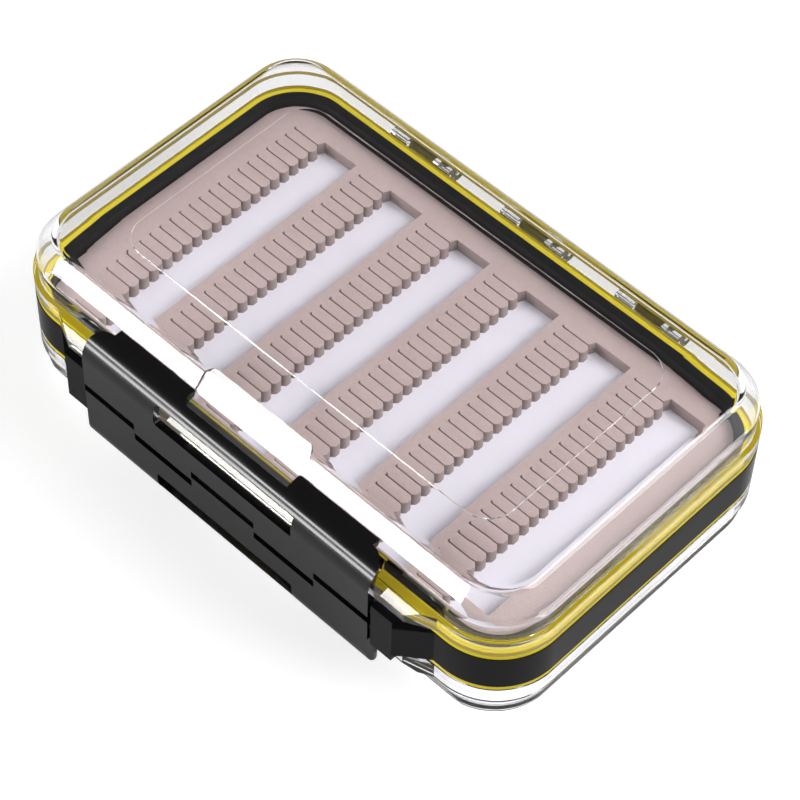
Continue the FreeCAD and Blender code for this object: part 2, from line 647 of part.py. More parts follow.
def make_hinge_pins(level, way):
    """Three pins of one lid's hinges."""
    half = "(hinge_half_width - pin_end_inset)"
    places = {"left": "-hinge_spacing", "center": "0", "right": "hinge_spacing"}
    return [make_pin(f"{level}_hinge_pin_{side}", "hinge_pin_radius", f"2 * {half}",
                     f"{place} - {half}", "hinge_reach", f"{way} * hinge_rise")
            for side, place in places.items()]


def make_latch_pins(level, way):
    """Two pins of one latch, each half in the latch and half in its ear."""
    inner = "(latch_half_length - latch_pin_bore + pin_end_inset)"
    outer = "(ear_inner_half_length + latch_pin_bore - pin_end_inset)"
    starts = {"left": f"-{outer}", "right": inner}
    return [make_pin(f"{level}_latch_pin_{side}", "latch_pin_radius", f"{outer} - {inner}", start,
                     "-latch_pivot_reach", f"{way} * latch_pivot_rise")
            for side, start in starts.items()]


MIDDLE_TABS = [("tab_inner_half_length", "tab_outer_half_length"),
               ("-tab_outer_half_length", "-tab_inner_half_length")]
OTHER_TABS = [("-tab_inner_half_length", "tab_inner_half_length"),
              ("tab_outer_half_length", "latch_half_length"),
              ("-latch_half_length", "-tab_outer_half_length")]

parts = [make_center_frame()]
for level, way, turned, tabs in (("upper", "1", False, MIDDLE_TABS),
                                 ("lower", "-1", True, OTHER_TABS)):
    parts.append(make_lid(f"{level}_lid", turned))
    parts.append(make_gasket(f"{level}_gasket", turned))
    parts.append(make_latch(f"{level}_latch", turned, tabs))
    parts.append(make_sheet(f"{level}_foam_tape", turned, "divider_thickness / 2",
                            "tape_thickness"))
    parts.append(make_sheet(f"{level}_foam_backing", turned, "backing_foot_rise",
                            "backing_thickness"))
    parts.append(make_slit_foam(f"{level}_slit_foam", turned))
    parts += make_hinge_pins(level, way)
    parts += make_latch_pins(level, way)

doc.recompute()
for item in doc.Objects:
    if "Invalid" in item.State or "Error" in item.State:
        raise RuntimeError(f"{item.Name} failed: {item.State}")
for part in parts:
    if part.Shape.isNull() or not part.Shape.isValid():
        raise RuntimeError(f"{part.Label} has no valid shape")

os.makedirs("parts", exist_ok=True)
for part in parts:
    part.Shape.exportStep(f"parts/{part.Label}.step")
    box = part.Shape.BoundBox
    print(part.Label, len(part.Shape.Solids), round(part.Shape.Volume, 2),
          [round(value, 2) for value in (box.XMin, box.XMax, box.YMin, box.YMax, box.ZMin, box.ZMax)])
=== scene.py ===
import json
import math

import bmesh
import bpy
from mathutils import Matrix, Vector

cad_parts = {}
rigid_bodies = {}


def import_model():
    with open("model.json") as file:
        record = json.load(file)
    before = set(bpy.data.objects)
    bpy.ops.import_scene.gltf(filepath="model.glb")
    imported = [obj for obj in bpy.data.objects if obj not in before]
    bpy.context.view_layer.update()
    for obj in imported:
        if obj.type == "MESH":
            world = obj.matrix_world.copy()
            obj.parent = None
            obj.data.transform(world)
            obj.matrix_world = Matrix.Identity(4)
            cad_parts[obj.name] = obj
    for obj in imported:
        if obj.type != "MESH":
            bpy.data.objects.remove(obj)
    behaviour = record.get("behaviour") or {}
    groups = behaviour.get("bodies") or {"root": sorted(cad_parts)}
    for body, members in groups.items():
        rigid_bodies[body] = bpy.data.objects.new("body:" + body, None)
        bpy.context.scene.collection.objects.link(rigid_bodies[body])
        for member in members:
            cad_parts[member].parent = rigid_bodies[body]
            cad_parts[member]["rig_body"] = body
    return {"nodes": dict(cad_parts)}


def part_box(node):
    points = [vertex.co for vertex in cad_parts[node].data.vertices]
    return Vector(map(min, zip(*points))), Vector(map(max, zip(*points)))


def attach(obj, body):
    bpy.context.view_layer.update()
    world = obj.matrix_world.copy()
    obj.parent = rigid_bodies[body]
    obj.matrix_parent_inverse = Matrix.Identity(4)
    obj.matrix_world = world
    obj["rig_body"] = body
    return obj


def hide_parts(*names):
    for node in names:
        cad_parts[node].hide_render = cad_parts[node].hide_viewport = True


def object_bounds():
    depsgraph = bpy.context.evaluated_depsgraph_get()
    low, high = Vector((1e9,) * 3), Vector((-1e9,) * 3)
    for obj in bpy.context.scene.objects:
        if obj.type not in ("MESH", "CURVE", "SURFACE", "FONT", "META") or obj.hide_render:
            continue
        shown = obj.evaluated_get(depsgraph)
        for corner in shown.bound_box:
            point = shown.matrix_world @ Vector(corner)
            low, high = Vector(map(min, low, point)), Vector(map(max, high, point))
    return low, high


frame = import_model()
PACKED_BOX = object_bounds()

bl_info = {
    "name": "Fly Box",
    "version": (1, 0, 0),
    "blender": (4, 5, 0),
    "location": "View3D > Sidebar > Fly Box",
    "description": "Builds the looks of a double-sided fly box on its packed frame",
    "category": "Add Mesh",
}

# Pieces are modelled in millimetres about the box's middle plane, for the upper side. The lower
# side's pieces are the same, turned half a turn about the Y axis. A "reach" is a distance from the
# middle along Y, a "rise" a height above the middle plane and a "setback" a distance in from the
# frame's outer face.
MM = 0.001


def packed(node):
    """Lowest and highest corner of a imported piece, in millimetres about the middle plane."""
    middle = Vector((0, 0, sum(corner.z for corner in PACKED_BOX) / 2))
    return [(corner - middle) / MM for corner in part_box(node)]


LID_HIGH = packed("upper_lid")[1]
GASKET_LOW, GASKET_HIGH = packed("upper_gasket")
LATCH_LOW, LATCH_HIGH = packed("upper_latch")
FOAM_LOW, FOAM_HIGH = packed("upper_slit_foam")
BACKING_LOW, BACKING_HIGH = packed("upper_foam_backing")
HINGE_PIN_LOW, HINGE_PIN_HIGH = packed("upper_hinge_pin_center")
SIDE_PIN_LOW, SIDE_PIN_HIGH = packed("upper_hinge_pin_right")
LATCH_PIN_LOW, LATCH_PIN_HIGH = packed("upper_latch_pin_right")
MIDDLE_RISE = sum(corner.z for corner in PACKED_BOX) / 2

# Frame
GASKET_FOOT_SETBACK = 0.2
HALF_LENGTH = GASKET_HIGH.x + GASKET_FOOT_SETBACK
HALF_WIDTH = GASKET_HIGH.y + GASKET_FOOT_SETBACK
CORNER = 16.0
BAND_RISE = GASKET_LOW.z
RIM_SETBACK = 3.6
WELL_SETBACK = 5.8
RIM_RISE = BAND_RISE + 1.75
DIVIDER_HALF = 0.35
EAR_INNER = LATCH_HIGH.x + 0.5
EAR_REACH = -LATCH_LOW.y - 0.4
EAR_HALF_LENGTH = EAR_INNER + 6.0
EAR_ROOT_HALF_LENGTH = EAR_INNER + 13.0
EAR_CHEEK = 1.8
EAR_CHEEK_RISE = 7.1

# Gasket
GASKET_LIP, GASKET_LIP_WIDTH = 0.2, 0.6
GASKET_FOOT_TOP = GASKET_HIGH.z - GASKET_LIP

# Lid
FLANGE_RISE = 11.1
FLANGE_WALL = 2.3
LID_WALL_SETBACK = 1.1
BEVEL_FOOT_RISE = 16.5
BEVEL_SETBACK = 5.5
BEVEL_RISE = 22.4
LID_SKIN = 2.0
FACET_WIDTH = 2.2
PANEL_STEP = 0.4
PANEL_CHAMFER = 0.2
PANEL_HALF_LENGTH, PANEL_HALF_WIDTH, PANEL_CORNER = 55.2, 29.0, 7.0
WING_REACH = 48.8
WING_HALF_LENGTH, WING_ROOT_HALF_LENGTH = 50.7, 57.0
RAMP_FOOT_RISE, RAMP_SLOPE = 9.0, 1.35
RAIL_HALF_LENGTH, RAIL_REACH, RAIL_RISE = 41.0, 46.2, 15.7
SCOOP_HALF_LENGTH, SCOOP_REACH, SCOOP_CORNER = 15.8, 38.2, 3.5

# Hinges
HINGE_REACH = (HINGE_PIN_LOW.y + HINGE_PIN_HIGH.y) / 2
HINGE_RISE = (HINGE_PIN_LOW.z + HINGE_PIN_HIGH.z) / 2
HINGE_SPACING = (SIDE_PIN_LOW.x + SIDE_PIN_HIGH.x) / 2
BARREL_RADIUS = 2.6
BORE_RADIUS = 0.85
LUG_HALF = 4.0
KNUCKLE_INNER = 4.2
KNUCKLE_OUTER = 9.25

# Latch
LATCH_REACH = -LATCH_LOW.y
LATCH_WALL = 1.8
LATCH_HALF_LENGTH = LATCH_HIGH.x
HOOK_RADIUS = 7.0
HOOK_CENTRE_RISE = LATCH_HIGH.z - HOOK_RADIUS
HOOK_EDGE_REACH = -LATCH_HIGH.y
HOOK_CORNER = 4.5
LATCH_FOOT_RISE = 2.7
TAB_BREAKS = (9.5, 27.3)
SLOT_HALF_LENGTH, SLOT_LOW_RISE, SLOT_HIGH_RISE = 20.7, 9.0, 14.8
NOTCH_HALF_LENGTH, NOTCH_REACH = 15.6, 47.3
LATCH_PIVOT_REACH = -(LATCH_PIN_LOW.y + LATCH_PIN_HIGH.y) / 2
LATCH_PIVOT_RISE = (LATCH_PIN_LOW.z + LATCH_PIN_HIGH.z) / 2
BOSS_RADIUS, BOSS_LENGTH = 1.5, 3.5
LATCH_BORE_RADIUS, LATCH_BORE_DEPTH = 0.8, 2.8

# Slit foam
TROUGH_COUNT, TROUGH_PITCH, TROUGH_SHIFT = 6, 21.0, 8.4
TROUGH_HALF_LENGTH, TROUGH_WIDTH = 34.1, 10.0
TAB_CHAMFER, TAB_TIP_WIDTH = 0.8, 1.3
SLIT_LENGTH, SLIT_WIDTH, SLIT_COUNT, SLIT_PITCH = 7.6, 0.25, 22, 3.07
SLIT_HOOK = 0.5

# How the shapes are made: how far a cutter runs past what it cuts, the steps of round shapes, how
# deep a joined part is rooted, and how close points are welded
OVERRUN = 3.0
BORE_OVERRUN = 1.0
CORNER_STEPS = 20
ROD_SIDES, BORE_SIDES, QUARTER_SIDES = 40, 24, 64
OUTLINE_CORNER_STEPS, RING_STEPS, HOOK_STEPS = 8, 8, 24
ROW_SPREAD = 50.0
SEAM = 0.01
LUG_ROOT_SETBACK = RIM_SETBACK - 0.5
RAIL_ROOT_DEPTH = 1.0
TAB_ROOT_DEPTH = 1.0
WELD = 0.002
LEVEL_SLACK = 0.01
FLAT_TURN = math.radians(0.5)
SEAL_ROUND, SHEET_ROUND = 0.07, 0.08

# Camera: lens and sensor in millimetres, place in metres, azimuth, elevation and roll in degrees
LENS_MM, SENSOR_MM = 126.387, 36.0
CAMERA_PLACE = (0.25867, -0.28053, 0.51059)
CAMERA_ANGLES = (42.33, 52.56, 2.0)

# Floor: half its side in metres, and how much it glows for the camera and through the clear lids
FLOOR_HALF = 3
FLOOR_GLOW = 0.6


def linear(hex_colour):
    """Turn an sRGB hex colour into linear RGB."""
    parts = [int(hex_colour[place:place + 2], 16) / 255 for place in (1, 3, 5)]
    return [part / 12.92 if part <= 0.04045 else ((part + 0.055) / 1.055) ** 2.4 for part in parts]


class FlyBoxColors(bpy.types.PropertyGroup):
    """Colours of the box's materials and of the floor."""

    frame: bpy.props.FloatVectorProperty(
        name="Frame", description="Moulded black of the centre frame", subtype="COLOR",
        default=linear("#0C0C0E"), min=0, max=1)
    latch: bpy.props.FloatVectorProperty(
        name="Latch", description="Moulded black of the two latches", subtype="COLOR",
        default=linear("#09080A"), min=0, max=1)
    lid: bpy.props.FloatVectorProperty(
        name="Lid", description="Tint of the clear lids", subtype="COLOR",
        default=linear("#FAFAFC"), min=0, max=1)
    gasket: bpy.props.FloatVectorProperty(
        name="Gasket", description="Yellow-green of the seals", subtype="COLOR",
        default=linear("#CBB818"), min=0, max=1)
    foam: bpy.props.FloatVectorProperty(
        name="Foam", description="Taupe of the slit foam", subtype="COLOR",
        default=linear("#B5A29D"), min=0, max=1)
    backing: bpy.props.FloatVectorProperty(
        name="Backing", description="White of the sheet under the foam", subtype="COLOR",
        default=linear("#F3F0F8"), min=0, max=1)
    floor: bpy.props.FloatVectorProperty(
        name="Floor", description="Pale studio floor", subtype="COLOR",
        default=linear("#D4D4D4"), min=0, max=1)


class FlyBoxFinish(bpy.types.PropertyGroup):
    """Small sizes of the finish."""

    edge_round: bpy.props.FloatProperty(
        name="Edge Round", description="Radius on the moulded pieces' edges",
        default=0.25 * MM, min=0.05 * MM, max=0.5 * MM, unit="LENGTH", precision=5)
    lid_edge_round: bpy.props.FloatProperty(
        name="Lid Edge Round", description="Radius on the lids' edges",
        default=0.12 * MM, min=0.05 * MM, max=0.4 * MM, unit="LENGTH", precision=5)
    lid_shoulder_round: bpy.props.FloatProperty(
        name="Lid Shoulder Round", description="How wide the lids' walls bend into their bevels",
        default=0.6 * MM, min=0.1 * MM, max=1.0 * MM, unit="LENGTH", precision=5)
    lid_crown_round: bpy.props.FloatProperty(
        name="Lid Crown Round", description="How wide the inner bend is between bevel and crown",
        default=0.3 * MM, min=0.1 * MM, max=1.0 * MM, unit="LENGTH", precision=5)
    foam_edge_round: bpy.props.FloatProperty(
        name="Foam Edge Round", description="Softness of the foam's cut edges",
        default=0.12 * MM, min=0.05 * MM, max=0.4 * MM, unit="LENGTH", precision=5)


# Mesh making


def inset(setback, rise):
    """The frame's outline at a setback and a rise, as one row of a skin."""
    return HALF_LENGTH - setback, HALF_WIDTH - setback, CORNER - setback, rise


def rounded_face(bm, half_length, half_width, corner, rise):
    """Add one rounded rectangle that faces up."""
    known = set(bm.faces)
    spread = Matrix.Diagonal((half_length, half_width, 1, 1))
    made = bmesh.ops.create_grid(bm, x_segments=1, y_segments=1, size=1,
                                 matrix=Matrix.Translation((0, 0, rise)) @ spread)
    bmesh.ops.bevel(bm, geom=made["verts"], affect="VERTICES", offset=corner,
                    offset_type="OFFSET", segments=CORNER_STEPS, profile=0.5, material=-1)
    return next(face for face in bm.faces if face not in known)


def skin(rows, closed=False):
    """Bridge rounded rectangles, given as (half length, half width, corner, rise), into a solid.

    An open skin keeps its first and last faces. A closed one goes back to its first row. The rows
    are bridged far apart, so that their points pair up, and take their own rises afterwards.
    """
    bm = bmesh.new()
    faces = [rounded_face(bm, *row[:3], number * ROW_SPREAD) for number, row in enumerate(rows)]
    rings = [list(face.edges) for face in faces]
    levels = [list(face.verts) for face in faces]
    spare = faces if closed else faces[1:-1]
    bmesh.ops.delete(bm, geom=spare, context="FACES_ONLY")
    for ring, following in zip(rings, rings[1:] + rings[:closed]):
        bmesh.ops.bridge_loops(bm, edges=ring + following)
    for verts, row in zip(levels, rows):
        for vert in verts:
            vert.co.z = row[3]
    bmesh.ops.recalc_face_normals(bm, faces=bm.faces)
    return bm


AXES = {"X": ((1, 2), 0), "Y": ((0, 2), 1), "Z": ((0, 1), 2)}


def block(axis, points, start, end, corner=0.0, rounded=None):
    """Push an outline along an axis. Its points numbered in rounded get a corner radius."""
    (first, second), along = AXES[axis]
    bm = bmesh.new()
    outline = []
    for across, up in points:
        place = Vector()
        place[first], place[second], place[along] = across, up, start
        outline.append(bm.verts.new(place))
    bm.faces.new(outline)
    if corner:
        chosen = outline if rounded is None else [outline[number] for number in rounded]
        bmesh.ops.bevel(bm, geom=chosen, affect="VERTICES", offset=corner, offset_type="OFFSET",
                        segments=OUTLINE_CORNER_STEPS, profile=0.5, material=-1)
    moved = bmesh.ops.extrude_face_region(bm, geom=list(bm.faces))["geom"]
    step = Vector()
    step[along] = end - start
    bmesh.ops.translate(bm, vec=step, verts=[v for v in moved if isinstance(v, bmesh.types.BMVert)])
    bmesh.ops.recalc_face_normals(bm, faces=bm.faces)
    return bm


def rectangle(left, right, low, high):
    """The four corners of a rectangle, for block."""
    return [(left, low), (right, low), (right, high), (left, high)]


def rod(radius, left, right, reach, rise, sides=ROD_SIDES):
    """A closed cylinder along X."""
    bm = bmesh.new()
    place = Matrix.Translation(((left + right) / 2, reach, rise)) @ Matrix.Rotation(
        math.pi / 2, 4, "Y")
    bmesh.ops.create_cone(bm, cap_ends=True, segments=sides, radius1=radius, radius2=radius,
                          depth=right - left, matrix=place)
    return bm


def as_object(bm, name):
    """Put a bmesh into a new object of the scene."""
    mesh = bpy.data.meshes.new(name)
    bm.to_mesh(mesh)
    bm.free()
    thing = bpy.data.objects.new(name, mesh)
    bpy.context.scene.collection.objects.link(thing)
    return thing


def combine(operation, first, others):
    """Join ("UNION") or cut ("DIFFERENCE") closed solids, and return what is left."""
    host = as_object(first, "host")
    tools = [as_object(other, "tool") for other in others]
    for tool in tools:
        modifier = host.modifiers.new("combine", "BOOLEAN")
        modifier.operation = operation
        modifier.solver = "EXACT"
        modifier.object = tool
    depsgraph = bpy.context.evaluated_depsgraph_get()
    mesh = bpy.data.meshes.new_from_object(host.evaluated_get(depsgraph))
    bm = bmesh.new()
    bm.from_mesh(mesh)
    bpy.data.meshes.remove(mesh)
    for thing in [host, *tools]:
        mesh = thing.data
        bpy.data.objects.remove(thing)
        bpy.data.meshes.remove(mesh)
    bmesh.ops.remove_doubles(bm, verts=bm.verts, dist=WELD)
    return bm


def soften(bm, width, least_turn=28, segments=2):
    """Clean up after the cuts and round the edges that turn by more than an angle in degrees."""
    bmesh.ops.dissolve_limit(bm, angle_limit=FLAT_TURN, verts=bm.verts, edges=bm.edges)
    bmesh.ops.dissolve_degenerate(bm, dist=width / 4, edges=bm.edges)
    sharp = [edge for edge in bm.edges
             if edge.is_manifold and edge.calc_face_angle() > math.radians(least_turn)]
    bmesh.ops.bevel(bm, geom=sharp, affect="EDGES", offset=width, offset_type="OFFSET",
                    segments=segments, profile=0.5, material=-1, clamp_overlap=True,
                    loop_slide=True)


def add_piece(bm, name, node, material, turned=False, sharp_turn=12):
    """Make a mesh a piece of the box, in its place, on its body and in a node's stead."""
    if turned:
        bm.transform(Matrix.Rotation(math.pi, 4, "Y"))
    bm.transform(Matrix.Scale(MM, 4) @ Matrix.Translation((0, 0, MIDDLE_RISE / MM)))
    for face in bm.faces:
        face.smooth = True
    for edge in bm.edges:
        edge.smooth = edge.calc_face_angle(0) < math.radians(sharp_turn)
    piece = as_object(bm, name)
    piece.data.materials.append(material)
    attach(piece, frame["nodes"][node]["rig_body"])
    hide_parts(node)
    return piece


def even_shading(piece):
    """Let large faces set the normals, so that flat faces stay flat up to their rounded edges."""
    modifier = piece.modifiers.new("even_shading", "WEIGHTED_NORMAL")
    modifier.keep_sharp = True
    modifier.weight = 90


# Materials


def add_node(tree, kind, settings=None, links=None):
    """Add a node, set its sockets or properties by name, and link what feeds it."""
    node = tree.nodes.new(kind)
    for name, value in (settings or {}).items():
        if isinstance(name, int) or name in node.inputs:
            node.inputs[name].default_value = value
        else:
            setattr(node, name, value)
    for name, source in (links or {}).items():
        tree.links.new(source, node.inputs[name])
    return node


def new_material(name):
    """Start a material that holds only its output node and the object's coordinates."""
    material = bpy.data.materials.new(name)
    material.use_nodes = True
    tree = material.node_tree
    tree.nodes.clear()
    place = add_node(tree, "ShaderNodeTexCoord").outputs["Object"]
    return material, tree, place


def show(tree, shader):
    """Link a shader to the material's output."""
    add_node(tree, "ShaderNodeOutputMaterial", links={"Surface": shader})


def opaque(colour):
    """A colour with its alpha."""
    return (*colour, 1.0)


def moulded_plastic(name, colour, roughness, gloss, grain_mm, grain_height_mm):
    """Injection-moulded ABS: near black, a soft gloss, a very fine even grain."""
    material, tree, place = new_material(name)
    # The real grain is finer than the render can show, so it is drawn this coarse.
    grain = add_node(tree, "ShaderNodeTexNoise", {"Scale": 1 / (grain_mm * MM), "Detail": 3.0},
                     {"Vector": place})
    haze = add_node(tree, "ShaderNodeTexNoise", {"Scale": 1 / (9 * MM), "Detail": 4.0},
                    {"Vector": place})
    dull = add_node(tree, "ShaderNodeMapRange",
                    {"From Min": 0.3, "From Max": 0.7, "To Min": roughness * 0.85,
                     "To Max": roughness * 1.2}, {"Value": haze.outputs["Fac"]})
    bump = add_node(tree, "ShaderNodeBump", {"Strength": 0.35, "Distance": grain_height_mm * MM},
                    {"Height": grain.outputs["Fac"]})
    shader = add_node(tree, "ShaderNodeBsdfPrincipled",
                      {"Base Color": opaque(colour), "IOR": 1.5, "Specular IOR Level": gloss},
                      {"Roughness": dull.outputs["Result"], "Normal": bump.outputs["Normal"]})
    show(tree, shader.outputs["BSDF"])
    return material


def clear_polystyrene(colour):
    """Polished clear polystyrene: high index, nearly no tint, lets lamps through to the foam."""
    material, tree, _ = new_material("clear_polystyrene")
    shader = add_node(tree, "ShaderNodeBsdfPrincipled",
                      {"Base Color": opaque(colour), "IOR": 1.58, "Roughness": 0.015,
                       "Transmission Weight": 1.0})
    path = add_node(tree, "ShaderNodeLightPath")
    through = add_node(tree, "ShaderNodeBsdfTransparent", {"Color": (0.96, 0.96, 0.97, 1.0)})
    mix = add_node(tree, "ShaderNodeMixShader", links={
        0: path.outputs["Is Shadow Ray"], 1: shader.outputs["BSDF"], 2: through.outputs["BSDF"]})
    show(tree, mix.outputs["Shader"])
    return material


def seal_rubber(colour):
    """Extruded silicone seal: soft sheen and a little light through it."""
    material, tree, place = new_material("silicone_rubber")
    cloud = add_node(tree, "ShaderNodeTexNoise", {"Scale": 1 / (2.5 * MM), "Detail": 3.0},
                     {"Vector": place})
    shade = add_node(tree, "ShaderNodeMapRange", {"To Min": 0.42, "To Max": 0.6},
                     {"Value": cloud.outputs["Fac"]})
    shader = add_node(tree, "ShaderNodeBsdfPrincipled",
                      {"Base Color": opaque(colour), "IOR": 1.41, "Subsurface Weight": 0.15,
                       "Subsurface Radius": (1.0, 0.8, 0.1), "Subsurface Scale": 0.6 * MM},
                      {"Roughness": shade.outputs["Result"]})
    show(tree, shader.outputs["BSDF"])
    return material


def cut_foam(colour):
    """Die-cut EVA foam: matt and finely mottled, with painted shade on its upright cut faces."""
    material, tree, place = new_material("eva_foam")
    cells = add_node(tree, "ShaderNodeTexVoronoi", {"Scale": 1 / (0.35 * MM)}, {"Vector": place})
    cloud = add_node(tree, "ShaderNodeTexNoise", {"Scale": 1 / (1.1 * MM), "Detail": 5.0,
                                                  "Roughness": 0.65}, {"Vector": place})
    dark, light = [tuple(min(1.0, part * share) for part in colour) for share in (0.86, 1.1)]
    mottle = add_node(tree, "ShaderNodeMix",
                      {"data_type": "RGBA", 6: opaque(dark), 7: opaque(light)},
                      {0: cloud.outputs["Fac"]})
    # Painted shade: faces that stand upright are darkened, down to 0.62 of the colour, where the
    # trough walls and tab sides fall in shade.
    facing = add_node(tree, "ShaderNodeTexCoord").outputs["Normal"]
    facing = add_node(tree, "ShaderNodeSeparateXYZ", links={"Vector": facing})
    painted_side_shade = add_node(tree, "ShaderNodeMath", {"operation": "ABSOLUTE"},
                          {0: facing.outputs["Z"]})
    painted_side_shade = add_node(tree, "ShaderNodeMapRange", {"From Min": 0.2, "From Max": 0.75,
                                                       "To Min": 0.62, "To Max": 1.0},
                          {"Value": painted_side_shade.outputs[0]})
    tone = add_node(tree, "ShaderNodeVectorMath", {"operation": "SCALE"},
                    {0: mottle.outputs[2], "Scale": painted_side_shade.outputs["Result"]})
    bump = add_node(tree, "ShaderNodeBump", {"Strength": 0.5, "Distance": 0.08 * MM},
                    {"Height": cells.outputs["Distance"]})
    shader = add_node(tree, "ShaderNodeBsdfPrincipled",
                      {"IOR": 1.45, "Roughness": 0.88, "Sheen Weight": 0.15,
                       "Sheen Roughness": 0.5, "Specular IOR Level": 0.3},
                      {"Base Color": tone.outputs[0], "Normal": bump.outputs["Normal"]})
    show(tree, shader.outputs["BSDF"])
    return material


def backing_sheet(colour):
    """White polyethylene sheet: smooth skin with faint clouds."""
    material, tree, place = new_material("polyethylene_sheet")
    cloud = add_node(tree, "ShaderNodeTexNoise", {"Scale": 1 / (7 * MM), "Detail": 4.0},
                     {"Vector": place})
    dark = tuple(part * 0.93 for part in colour)
    tone = add_node(tree, "ShaderNodeMix",
                    {"data_type": "RGBA", 6: opaque(dark), 7: opaque(colour)},
                    {0: cloud.outputs["Fac"]})
    shader = add_node(tree, "ShaderNodeBsdfPrincipled", {"IOR": 1.5, "Roughness": 0.5},
                      {"Base Color": tone.outputs[2]})
    show(tree, shader.outputs["BSDF"])
    return material


def drawn_steel():
    """Drawn stainless pin: bright metal with fine lines along it."""
    material, tree, place = new_material("drawn_steel")
    lines = add_node(tree, "ShaderNodeMapping", {"Scale": (1.0, 40.0, 40.0)}, {"Vector": place})
    marks = add_node(tree, "ShaderNodeTexNoise", {"Scale": 1 / (4 * MM), "Detail": 2.0},
                     {"Vector": lines.outputs["Vector"]})
    dull = add_node(tree, "ShaderNodeMapRange", {"To Min": 0.2, "To Max": 0.36},
                    {"Value": marks.outputs["Fac"]})
    shader = add_node(tree, "ShaderNodeBsdfPrincipled",
                      {"Base Color": opaque(linear("#B9B9BC")), "Metallic": 1.0},
                      {"Roughness": dull.outputs["Result"]})
    show(tree, shader.outputs["BSDF"])
    return material


def acrylic_tape():
    """Double-sided tape: milky acrylic film."""
    material, tree, place = new_material("acrylic_tape")
    cloud = add_node(tree, "ShaderNodeTexNoise", {"Scale": 1 / (3 * MM), "Detail": 3.0},
                     {"Vector": place})
    dull = add_node(tree, "ShaderNodeMapRange", {"To Min": 0.3, "To Max": 0.45},
                    {"Value": cloud.outputs["Fac"]})
    shader = add_node(tree, "ShaderNodeBsdfPrincipled",
                      {"Base Color": opaque(linear("#E4E2DA"))},
                      {"Roughness": dull.outputs["Result"]})
    show(tree, shader.outputs["BSDF"])
    return material


# Pieces


def hinge_row(inner, outer, middle_too=False):
    """(left, right) of each hinge stretch, for three hinges, mirrored about each middle."""
    stretches = []
    for place in (-HINGE_SPACING, 0, HINGE_SPACING):
        if middle_too:
            stretches.append((place - outer, place + outer))
        else:
            stretches += [(place - outer, place - inner), (place + inner, place + outer)]
    return stretches


class FLYBOX_OT_center_frame(bpy.types.Operator):
    """Build the black centre frame with its rims, wells, latch ears and hinge lugs"""

    bl_idname = "fly_box.center_frame"
    bl_label = "Centre Frame"

    def execute(self, context):
        """Join the ears and lugs to the frame's skin, cut the bores and round the edges."""
        bm = skin([
            inset(WELL_SETBACK, -DIVIDER_HALF), inset(WELL_SETBACK, -RIM_RISE),
            inset(RIM_SETBACK, -RIM_RISE), inset(RIM_SETBACK, -BAND_RISE),
            inset(0, -BAND_RISE), inset(0, BAND_RISE),
            inset(RIM_SETBACK, BAND_RISE), inset(RIM_SETBACK, RIM_RISE),
            inset(WELL_SETBACK, RIM_RISE), inset(WELL_SETBACK, DIVIDER_HALF)])
        bm = combine("UNION", bm, self.ears() + self.lugs())
        bores = [rod(BORE_RADIUS, left - BORE_OVERRUN, right + BORE_OVERRUN, HINGE_REACH,
                     way * HINGE_RISE, BORE_SIDES)
                 for left, right in hinge_row(0, LUG_HALF, middle_too=True) for way in (1, -1)]
        bores += [rod(LATCH_BORE_RADIUS, side * EAR_INNER - LATCH_BORE_DEPTH,
                      side * EAR_INNER + LATCH_BORE_DEPTH, -LATCH_PIVOT_REACH,
                      way * LATCH_PIVOT_RISE, BORE_SIDES) for side in (1, -1) for way in (1, -1)]
        bm = combine("DIFFERENCE", bm, bores)
        soften(bm, context.scene.fly_box_finish.edge_round / MM)
        colour = context.scene.fly_box_colors.frame
        piece = add_piece(bm, "center_frame_moulding", "center_frame",
                          moulded_plastic("glossy_black_abs", colour, 0.14, 0.1, 0.5, 0.002))
        even_shading(piece)
        return {"FINISHED"}

    def ears(self):
        """The two ears that hold the latches' pins, each with a tall front cheek."""
        made = []
        for side in (1, -1):
            root = -(HALF_WIDTH - RIM_SETBACK)
            outline = [(side * EAR_INNER, root), (side * EAR_INNER, -EAR_REACH),
                       (side * EAR_HALF_LENGTH, -EAR_REACH),
                       (side * EAR_ROOT_HALF_LENGTH, -HALF_WIDTH),
                       (side * EAR_ROOT_HALF_LENGTH, root)]
            made.append(block("Z", outline, -BAND_RISE, BAND_RISE))
            made.append(block("Z", rectangle(side * EAR_INNER, side * EAR_HALF_LENGTH, -EAR_REACH,
                                             -(EAR_REACH - EAR_CHEEK)),
                              -EAR_CHEEK_RISE, EAR_CHEEK_RISE))
        return made

    def lugs(self):
        """Three back lugs, each with an upper and a lower barrel."""
        made = []
        for left, right in hinge_row(0, LUG_HALF, middle_too=True):
            made.append(block("X", rectangle(HALF_WIDTH - LUG_ROOT_SETBACK,
                                             HINGE_REACH + BARREL_RADIUS, -BAND_RISE, BAND_RISE),
                              left + SEAM, right - SEAM))
            made += [rod(BARREL_RADIUS, left, right, HINGE_REACH, way * HINGE_RISE)
                     for way in (1, -1)]
        return made


